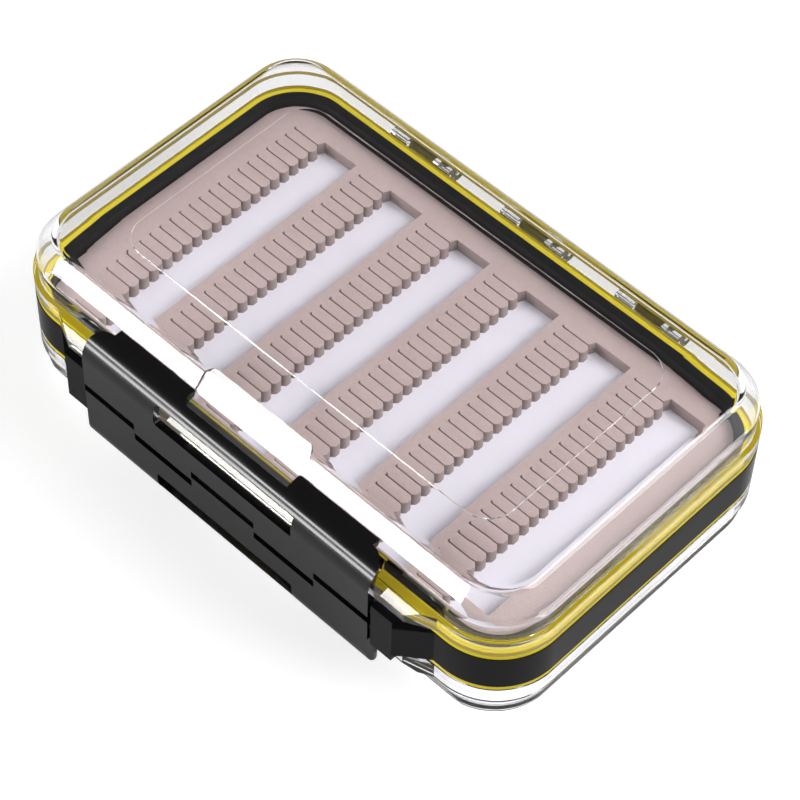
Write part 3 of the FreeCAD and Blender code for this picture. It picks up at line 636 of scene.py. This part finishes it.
class FLYBOX_OT_lids(bpy.types.Operator):
    """Build the two clear lids"""

    bl_idname = "fly_box.lids"
    bl_label = "Clear Lids"

    def execute(self, context):
        """Shape one lid, and use a turned copy of it on the lower side."""
        run, climb = BEVEL_SETBACK - LID_WALL_SETBACK, BEVEL_RISE - BEVEL_FOOT_RISE
        top = BEVEL_RISE - LID_SKIN
        top_setback = (LID_WALL_SETBACK + LID_SKIN * math.hypot(run, climb) / climb
                       + (top - BEVEL_FOOT_RISE) * run / climb)
        shoulder = top - (top_setback - FLANGE_WALL) * climb / run
        foot = GASKET_FOOT_TOP
        edge = (PANEL_HALF_LENGTH, PANEL_HALF_WIDTH, PANEL_CORNER, LID_HIGH.z - PANEL_CHAMFER)
        panel = (PANEL_HALF_LENGTH - PANEL_CHAMFER, PANEL_HALF_WIDTH - PANEL_CHAMFER,
                 PANEL_CORNER - PANEL_CHAMFER, LID_HIGH.z)
        bm = skin([
            inset(top_setback, top), inset(FLANGE_WALL, shoulder), inset(FLANGE_WALL, foot),
            inset(0, foot), inset(0, FLANGE_RISE), inset(LID_WALL_SETBACK, FLANGE_RISE),
            inset(LID_WALL_SETBACK, BEVEL_FOOT_RISE), inset(BEVEL_SETBACK, BEVEL_RISE),
            edge, panel])
        finish = context.scene.fly_box_finish
        self.round_rings(bm, (shoulder, BEVEL_FOOT_RISE), finish.lid_shoulder_round / MM)
        self.round_rings(bm, (top,), finish.lid_crown_round / MM)
        # The outer bend shares the inner one's centre, so the skin is even there and the
        # clear bend shows no bright edge.
        bend = math.tan(math.atan2(climb, run) / 2)
        self.round_rings(bm, (BEVEL_RISE,), finish.lid_crown_round / MM + LID_SKIN * bend)
        self.round_rings(bm, (foot, FLANGE_RISE), finish.lid_edge_round / MM, 2)
        catch = self.catch(foot)
        for part in catch:
            soften(part, finish.lid_edge_round / MM, least_turn=50)
        bm = combine("UNION", bm, catch + self.knuckles(foot))
        bores = [rod(BORE_RADIUS, left - BORE_OVERRUN, right + BORE_OVERRUN, HINGE_REACH,
                     HINGE_RISE, BORE_SIDES)
                 for left, right in hinge_row(KNUCKLE_INNER, KNUCKLE_OUTER)]
        bm = combine("DIFFERENCE", bm, [*bores, self.front_facet(run, climb), self.scoop()])
        bmesh.ops.dissolve_limit(bm, angle_limit=FLAT_TURN, verts=bm.verts, edges=bm.edges)
        clear = clear_polystyrene(context.scene.fly_box_colors.lid)
        for level, mesh in (("upper", bm.copy()), ("lower", bm)):
            piece = add_piece(mesh, f"{level}_lid_moulding", f"{level}_lid",
                              clear, level == "lower", sharp_turn=7.5)
            even_shading(piece)
        return {"FINISHED"}

    def round_rings(self, bm, rises, width, segments=RING_STEPS):
        """Round the bends that run all round the lid at the given rises."""
        bends = [edge for edge in bm.edges
                 if edge.calc_face_angle(0) > math.radians(20)
                 and any(all(abs(vert.co.z - rise) < LEVEL_SLACK for vert in edge.verts)
                         for rise in rises)]
        bmesh.ops.bevel(bm, geom=bends, affect="EDGES", offset=width, offset_type="OFFSET",
                        segments=segments, profile=0.5, material=-1)

    def catch(self, foot):
        """The wing behind the latch, with the ramp that lifts the latch, and the catch rail."""
        wing_root = -(HALF_WIDTH - FLANGE_WALL / 2)
        wing = [(-WING_ROOT_HALF_LENGTH, wing_root), (-WING_ROOT_HALF_LENGTH, -HALF_WIDTH),
                (-WING_HALF_LENGTH, -WING_REACH), (WING_HALF_LENGTH, -WING_REACH),
                (WING_ROOT_HALF_LENGTH, -HALF_WIDTH), (WING_ROOT_HALF_LENGTH, wing_root)]
        made = [block("Z", wing, foot, FLANGE_RISE)]
        ramp = bmesh.ops.bisect_plane(made[0], geom=made[0].verts[:] + made[0].edges[:]
                                      + made[0].faces[:], clear_outer=True, use_snap_center=False,
                                      plane_co=(0, -WING_REACH, RAMP_FOOT_RISE),
                                      plane_no=(0, -RAMP_SLOPE, 1))["geom_cut"]
        bmesh.ops.edgenet_fill(made[0], edges=[item for item in ramp
                                               if isinstance(item, bmesh.types.BMEdge)])
        bmesh.ops.recalc_face_normals(made[0], faces=made[0].faces)
        made.append(block("X", rectangle(-RAIL_REACH, wing_root, FLANGE_RISE - RAIL_ROOT_DEPTH,
                                         RAIL_RISE),
                          -RAIL_HALF_LENGTH, RAIL_HALF_LENGTH))
        return made

    def knuckles(self, foot):
        """The hinge knuckles with their webs."""
        made = []
        for left, right in hinge_row(KNUCKLE_INNER, KNUCKLE_OUTER):
            made.append(block("X", rectangle(HALF_WIDTH - LID_WALL_SETBACK, HINGE_REACH, foot,
                                             HINGE_RISE + BARREL_RADIUS), left, right))
            made.append(rod(BARREL_RADIUS, left, right, HINGE_REACH, HINGE_RISE))
        return made

    def front_facet(self, run, climb):
        """The cutter of the narrow facet between the front wall and its bevel."""
        turn = (math.pi / 2 + math.atan2(climb, run)) / 2
        spread = FACET_WIDTH * math.cos(turn - math.atan2(climb, run))
        cutter = block("Z", rectangle(-HALF_LENGTH, HALF_LENGTH, -spread - OVERRUN,
                                      spread + OVERRUN), 0, OVERRUN)
        depth = FACET_WIDTH * math.sin(turn - math.atan2(climb, run))
        cutter.transform(Matrix.Translation((0, -(HALF_WIDTH - LID_WALL_SETBACK), BEVEL_FOOT_RISE))
                         @ Matrix.Rotation(turn, 4, "X") @ Matrix.Translation((0, 0, -depth)))
        return cutter

    def scoop(self):
        """The finger scoop's cutter: a slab on a slope, with two round upper corners."""
        run = HALF_WIDTH - LID_WALL_SETBACK - SCOOP_REACH
        climb = LID_HIGH.z - PANEL_STEP - BEVEL_FOOT_RISE
        outline = rectangle(-SCOOP_HALF_LENGTH, SCOOP_HALF_LENGTH, -OVERRUN,
                            math.hypot(run, climb))
        cutter = block("Z", outline, 0, OVERRUN, SCOOP_CORNER, (2, 3))
        cutter.transform(Matrix.Translation((0, -(HALF_WIDTH - LID_WALL_SETBACK), BEVEL_FOOT_RISE))
                         @ Matrix.Rotation(math.atan2(climb, run), 4, "X"))
        return cutter


class FLYBOX_OT_gaskets(bpy.types.Operator):
    """Build the yellow-green seals round the two rims"""

    bl_idname = "fly_box.gaskets"
    bl_label = "Gaskets"

    def execute(self, context):
        """Sweep the seal's section round the rim."""
        rubber = seal_rubber(context.scene.fly_box_colors.gasket)
        for level in ("upper", "lower"):
            bm = skin([
                inset(GASKET_FOOT_SETBACK, BAND_RISE), inset(GASKET_FOOT_SETBACK, GASKET_FOOT_TOP),
                inset(RIM_SETBACK - GASKET_LIP_WIDTH, GASKET_FOOT_TOP),
                inset(RIM_SETBACK - GASKET_LIP_WIDTH, GASKET_HIGH.z),
                inset(RIM_SETBACK, GASKET_HIGH.z), inset(RIM_SETBACK, BAND_RISE)], closed=True)
            soften(bm, SEAL_ROUND)
            add_piece(bm, f"{level}_seal", f"{level}_gasket", rubber,
                      level == "lower")
        return {"FINISHED"}


class FLYBOX_OT_latches(bpy.types.Operator):
    """Build the two black latches"""

    bl_idname = "fly_box.latches"
    bl_label = "Latches"

    def execute(self, context):
        """Give each latch its own tabs, so that the two lock together across the middle plane."""
        plastic = moulded_plastic("satin_black_abs", context.scene.fly_box_colors.latch, 0.15,
                                  0.55, 0.6, 0.002)
        inner, outer = TAB_BREAKS
        tabs = {"upper": [(inner, outer), (-outer, -inner)],
                "lower": [(-inner, inner), (outer, LATCH_HALF_LENGTH),
                          (-LATCH_HALF_LENGTH, -outer)]}
        for level, stretches in tabs.items():
            bm = combine("UNION", self.plate(), self.tabs(stretches) + self.bosses())
            bm = combine("DIFFERENCE", bm, self.cuts())
            soften(bm, context.scene.fly_box_finish.edge_round / MM)
            piece = add_piece(bm, f"{level}_latch_moulding", f"{level}_latch",
                              plastic, level == "lower")
            even_shading(piece)
        return {"FINISHED"}

    def plate(self):
        """A flat plate that turns over into the round hook."""
        bm = bmesh.new()
        left = -LATCH_HALF_LENGTH
        foot = [bm.verts.new((left, reach, LATCH_FOOT_RISE))
                for reach in (-LATCH_REACH, LATCH_WALL - LATCH_REACH)]
        edge = bm.edges.new(foot)
        made = bmesh.ops.extrude_edge_only(bm, edges=[edge])["geom"]
        lifted = [item for item in made if not isinstance(item, bmesh.types.BMFace)]
        verts = [item for item in lifted if isinstance(item, bmesh.types.BMVert)]
        bmesh.ops.translate(bm, vec=(0, 0, HOOK_CENTRE_RISE - LATCH_FOOT_RISE), verts=verts)
        centre = Vector((left, HOOK_RADIUS - LATCH_REACH, HOOK_CENTRE_RISE))
        past_top = centre.y + HOOK_EDGE_REACH
        turn = math.acos(-past_top / HOOK_RADIUS)
        bmesh.ops.spin(bm, geom=lifted, cent=centre, axis=(-1, 0, 0), angle=turn,
                       steps=HOOK_STEPS, use_merge=False, use_duplicate=False)
        bmesh.ops.remove_doubles(bm, verts=bm.verts, dist=WELD)
        moved = bmesh.ops.extrude_face_region(bm, geom=list(bm.faces))["geom"]
        bmesh.ops.translate(bm, vec=(2 * LATCH_HALF_LENGTH, 0, 0),
                            verts=[item for item in moved if isinstance(item, bmesh.types.BMVert)])
        bmesh.ops.recalc_face_normals(bm, faces=bm.faces)
        return bm

    def tabs(self, stretches):
        """The stretches that reach past the middle plane."""
        return [block("Z", rectangle(left, right, -LATCH_REACH, LATCH_WALL - LATCH_REACH),
                      LATCH_LOW.z, LATCH_FOOT_RISE + TAB_ROOT_DEPTH) for left, right in stretches]

    def bosses(self):
        """The round ends about the pivot."""
        end = LATCH_HALF_LENGTH
        return [rod(BOSS_RADIUS, *stretch, -LATCH_PIVOT_REACH, LATCH_PIVOT_RISE)
                for stretch in ((end - BOSS_LENGTH, end), (-end, BOSS_LENGTH - end))]

    def cuts(self):
        """The slot, the notch, the hook's round end corners and the pins' bores."""
        end = LATCH_HALF_LENGTH
        top = HOOK_CENTRE_RISE + HOOK_RADIUS + OVERRUN
        made = [
            block("Y", rectangle(-SLOT_HALF_LENGTH, SLOT_HALF_LENGTH, SLOT_LOW_RISE,
                                 SLOT_HIGH_RISE), -LATCH_REACH - OVERRUN, -RAIL_REACH, 0.5),
            block("Z", rectangle(-NOTCH_HALF_LENGTH, NOTCH_HALF_LENGTH, -NOTCH_REACH,
                                 OVERRUN - HOOK_EDGE_REACH), HOOK_CENTRE_RISE, top)]
        for side in (1, -1):
            spare = block("Z", rectangle(side * (end - HOOK_CORNER), side * (end + OVERRUN),
                                         -(HOOK_EDGE_REACH + HOOK_CORNER),
                                         OVERRUN - HOOK_EDGE_REACH), HOOK_CENTRE_RISE, top)
            quarter = bmesh.new()
            place = Matrix.Translation((side * (end - HOOK_CORNER),
                                        -(HOOK_EDGE_REACH + HOOK_CORNER), 0))
            bmesh.ops.create_cone(quarter, cap_ends=True, segments=QUARTER_SIDES,
                                  radius1=HOOK_CORNER, radius2=HOOK_CORNER,
                                  depth=2 * (top + OVERRUN), matrix=place)
            made.append(combine("DIFFERENCE", spare, [quarter]))
            made.append(rod(LATCH_BORE_RADIUS, *sorted((side * (end - LATCH_BORE_DEPTH),
                                                        side * (end + OVERRUN))),
                            -LATCH_PIVOT_REACH, LATCH_PIVOT_RISE, BORE_SIDES))
        return made


class FLYBOX_OT_foam(bpy.types.Operator):
    """Build the two slit foam inserts"""

    bl_idname = "fly_box.foam"
    bl_label = "Slit Foam"

    def execute(self, context):
        """Fill the sheet between its outline and its troughs, give it its thickness, soften it."""
        bm = bmesh.new()
        outline = rounded_face(bm, FOAM_HIGH.x, FOAM_HIGH.y, CORNER - (HALF_LENGTH - FOAM_HIGH.x),
                               0)
        bmesh.ops.delete(bm, geom=[outline], context="FACES_ONLY")
        for number in range(TROUGH_COUNT):
            middle = number - (TROUGH_COUNT - 1) / 2
            self.trough(bm, TROUGH_SHIFT + middle * TROUGH_PITCH)
        bmesh.ops.triangle_fill(bm, use_beauty=True, edges=bm.edges, normal=(0, 0, 1))
        bmesh.ops.translate(bm, vec=(0, 0, FOAM_LOW.z), verts=bm.verts)
        bottom = list(bm.faces)
        lifted = bmesh.ops.extrude_face_region(bm, geom=bottom)["geom"]
        verts = [item for item in lifted if isinstance(item, bmesh.types.BMVert)]
        bmesh.ops.translate(bm, vec=(0, 0, FOAM_HIGH.z - FOAM_LOW.z), verts=verts)
        bmesh.ops.recalc_face_normals(bm, faces=bm.faces)
        rim = [edge for edge in bm.edges if edge.is_manifold
               and edge.calc_face_angle() > math.radians(60)
               and min(vert.co.z for vert in edge.verts) > FOAM_HIGH.z - LEVEL_SLACK]
        bmesh.ops.bevel(bm, geom=rim, affect="EDGES",
                        offset=context.scene.fly_box_finish.foam_edge_round / MM,
                        offset_type="OFFSET", segments=2, profile=0.5, material=-1,
                        clamp_overlap=True)
        foam = cut_foam(context.scene.fly_box_colors.foam)
        for level, mesh in (("upper", bm.copy()), ("lower", bm)):
            piece = add_piece(mesh, f"{level}_foam_insert", f"{level}_slit_foam",
                              foam, level == "lower", sharp_turn=50)
        return {"FINISHED"}

    def trough(self, bm, straight_edge):
        """Draw one trough's outline: a straight edge, two ends and a row of slit tabs."""
        tip = straight_edge - TROUGH_WIDTH
        mouth = tip - TAB_CHAMFER
        inner = mouth - SLIT_LENGTH
        half_slit = SLIT_WIDTH / 2
        half_tip = TAB_TIP_WIDTH / 2
        start = -(SLIT_COUNT - 1) / 2 * SLIT_PITCH
        points = [(mouth, -half_slit), (inner, -half_slit), (inner - half_slit, SLIT_HOOK),
                  (inner + half_slit, SLIT_HOOK), (inner + 3 * half_slit, half_slit),
                  (mouth, half_slit)]
        points += [(tip, SLIT_PITCH / 2 - half_tip), (tip, SLIT_PITCH / 2 + half_tip)]
        chain = [bm.verts.new((x, start + y, 0)) for x, y in points]
        edges = [bm.edges.new(pair) for pair in zip(chain, chain[1:])]
        unit = chain + edges
        copies = [chain]
        for number in range(1, SLIT_COUNT):
            made = bmesh.ops.duplicate(bm, geom=unit)
            fresh = [made["vert_map"][vert] for vert in chain]
            bmesh.ops.translate(bm, vec=(0, number * SLIT_PITCH, 0), verts=fresh)
            copies.append(fresh)
        for before, after in zip(copies, copies[1:]):
            bm.edges.new((before[-1], after[0]))
        spare = copies[-1][-2:]
        bmesh.ops.delete(bm, geom=spare, context="VERTS")
        first, last = copies[0][0], copies[-1][-3]
        end = TROUGH_HALF_LENGTH
        corners = [bm.verts.new((x, y, 0)) for x, y in
                   ((tip, end), (straight_edge, end), (straight_edge, -end), (tip, -end))]
        chain = [last, *corners, first]
        for pair in zip(chain, chain[1:]):
            bm.edges.new(pair)


class FLYBOX_OT_backings(bpy.types.Operator):
    """Build the white sheets under the foam"""

    bl_idname = "fly_box.backings"
    bl_label = "Backings"

    def execute(self, context):
        """Make a thin rounded slab for each side."""
        sheet = backing_sheet(context.scene.fly_box_colors.backing)
        corner = CORNER - (HALF_LENGTH - BACKING_HIGH.x)
        size = (BACKING_HIGH.x, BACKING_HIGH.y, corner)
        for level in ("upper", "lower"):
            bm = skin([(*size, BACKING_LOW.z), (*size, BACKING_HIGH.z)])
            soften(bm, SHEET_ROUND)
            piece = add_piece(bm, f"{level}_backing_sheet", f"{level}_foam_backing",
                              sheet, level == "lower")
        return {"FINISHED"}


class FLYBOX_OT_hardware(bpy.types.Operator):
    """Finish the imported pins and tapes"""

    bl_idname = "fly_box.hardware"
    bl_label = "Pins and Tapes"

    def execute(self, context):
        """Give the pins and tapes their materials. Their shapes stay as packed."""
        steel, tape = drawn_steel(), acrylic_tape()
        for name, thing in frame["nodes"].items():
            finish = steel if "_pin_" in name else tape if name.endswith("_tape") else None
            if finish:
                for slot in thing.material_slots:
                    slot.material = finish
        return {"FINISHED"}


class FLYBOX_OT_stage(bpy.types.Operator):
    """Build the floor, the lamps, the world and the camera"""

    bl_idname = "fly_box.stage"
    bl_label = "Stage"

    def execute(self, context):
        """Light the box softly from above and behind, with two strip softboxes in front."""
        scene = context.scene
        scene.view_settings.view_transform = "Standard"
        self.floor(scene)
        self.world(scene)
        self.softbox("overhead_softbox", direction=(0.85, 0.45, 0.75), distance=1.2,
                     size=(0.8, 0.8), radiance=6.2)
        # The low strip shows in the lid's front bevel, the high one in its finger scoop.
        self.softbox("low_strip_softbox", direction=(-0.44, -0.88, 0.155), distance=1.0,
                     size=(0.66, 0.16), radiance=13.0)
        self.softbox("high_strip_softbox", direction=(-0.44, -0.88, 0.438), distance=1.0,
                     size=(0.66, 0.11), radiance=15.0)
        self.camera(scene)
        return {"FINISHED"}

    def floor(self, scene):
        """A pale floor that looks near white and keeps the box's shadow."""
        bm = bmesh.new()
        bmesh.ops.create_grid(bm, x_segments=1, y_segments=1, size=FLOOR_HALF)
        floor = as_object(bm, "floor")
        material, tree, _ = new_material("painted_floor")
        path = add_node(tree, "ShaderNodeLightPath")
        seen = add_node(tree, "ShaderNodeMath", {"operation": "MAXIMUM"},
                        {0: path.outputs["Is Camera Ray"],
                         1: path.outputs["Is Transmission Ray"]})
        glow = add_node(tree, "ShaderNodeMath", {"operation": "MULTIPLY", 1: FLOOR_GLOW},
                        {0: seen.outputs[0]})
        paint = add_node(tree, "ShaderNodeBsdfPrincipled",
                         {"Base Color": opaque(scene.fly_box_colors.floor), "Roughness": 0.9,
                          "Specular IOR Level": 0.0, "Emission Color": (1.0, 1.0, 1.0, 1.0)},
                         {"Emission Strength": glow.outputs[0]})
        show(tree, paint.outputs["BSDF"])
        floor.data.materials.append(material)

    def world(self, scene):
        """A studio: pale round the horizon and dim overhead."""
        world = bpy.data.worlds.new("studio")
        scene.world = world
        world.use_nodes = True
        tree = world.node_tree
        tree.nodes.clear()
        way = add_node(tree, "ShaderNodeTexCoord").outputs["Generated"]
        split = add_node(tree, "ShaderNodeSeparateXYZ", links={"Vector": way})
        level = add_node(tree, "ShaderNodeMapRange",
                         {"From Min": 0.1, "From Max": 0.65, "To Min": 1.0, "To Max": 0.12,
                          "interpolation_type": "SMOOTHSTEP"}, {"Value": split.outputs["Z"]})
        back = add_node(tree, "ShaderNodeBackground", {"Color": (1.0, 1.0, 1.0, 1.0)},
                        {"Strength": level.outputs["Result"]})
        add_node(tree, "ShaderNodeOutputWorld", links={"Surface": back.outputs["Background"]})

    def softbox(self, name, direction, distance, size, radiance):
        """An area lamp that faces the box from a direction."""
        lamp = bpy.data.lights.new(name, "AREA")
        lamp.shape = "RECTANGLE"
        lamp.size, lamp.size_y = size
        lamp.energy = radiance * math.pi * size[0] * size[1]
        thing = bpy.data.objects.new(name, lamp)
        bpy.context.scene.collection.objects.link(thing)
        way = Vector(direction).normalized()
        thing.location = way * distance + Vector((0, 0, MIDDLE_RISE))
        thing.rotation_euler = way.to_track_quat("Z", "Y").to_euler()

    def camera(self, scene):
        """The photograph's camera."""
        lens = bpy.data.cameras.new("camera")
        lens.lens, lens.sensor_width = LENS_MM, SENSOR_MM
        camera = bpy.data.objects.new("camera", lens)
        scene.collection.objects.link(camera)
        azimuth, elevation, roll = (math.radians(angle) for angle in CAMERA_ANGLES)
        back = Vector((math.sin(azimuth) * math.cos(elevation),
                       -math.cos(azimuth) * math.cos(elevation), math.sin(elevation)))
        right = Vector((math.cos(azimuth), math.sin(azimuth), 0))
        up = back.cross(right)
        across = math.cos(roll) * right + math.sin(roll) * up
        upward = math.cos(roll) * up - math.sin(roll) * right
        turn = Matrix((across, upward, back)).transposed().to_4x4()
        camera.matrix_world = Matrix.Translation(CAMERA_PLACE) @ turn
        scene.camera = camera


class FLYBOX_PT_panel(bpy.types.Panel):
    """Lists the steps that build the box"""

    bl_idname = "FLYBOX_PT_panel"
    bl_label = "Fly Box"
    bl_space_type = "VIEW_3D"
    bl_region_type = "UI"
    bl_category = "Fly Box"

    def draw(self, context):
        """Show the colours, the finish and a button for each step."""
        column = self.layout.column()
        for group in (context.scene.fly_box_colors, context.scene.fly_box_finish):
            for name in group.bl_rna.properties.keys():
                if name not in ("rna_type", "name"):
                    column.prop(group, name)
        for step in STEPS:
            column.operator(step.bl_idname)


STEPS = (FLYBOX_OT_stage, FLYBOX_OT_center_frame, FLYBOX_OT_lids, FLYBOX_OT_gaskets,
         FLYBOX_OT_latches, FLYBOX_OT_foam, FLYBOX_OT_backings, FLYBOX_OT_hardware)
CLASSES = (FlyBoxColors, FlyBoxFinish, *STEPS, FLYBOX_PT_panel)


def register():
    """Register the classes and hang the settings on the scene."""
    for cls in CLASSES:
        bpy.utils.register_class(cls)
    bpy.types.Scene.fly_box_colors = bpy.props.PointerProperty(type=FlyBoxColors)
    bpy.types.Scene.fly_box_finish = bpy.props.PointerProperty(type=FlyBoxFinish)


def unregister():
    """Take the settings and the classes away again."""
    del bpy.types.Scene.fly_box_finish
    del bpy.types.Scene.fly_box_colors
    for cls in reversed(CLASSES):
        bpy.utils.unregister_class(cls)


def main():
    """Build everything in order."""
    register()
    for step in (bpy.ops.fly_box.stage, bpy.ops.fly_box.center_frame, bpy.ops.fly_box.lids,
                 bpy.ops.fly_box.gaskets, bpy.ops.fly_box.latches, bpy.ops.fly_box.foam,
                 bpy.ops.fly_box.backings, bpy.ops.fly_box.hardware):
        step()


if __name__ == "__main__":
    main()
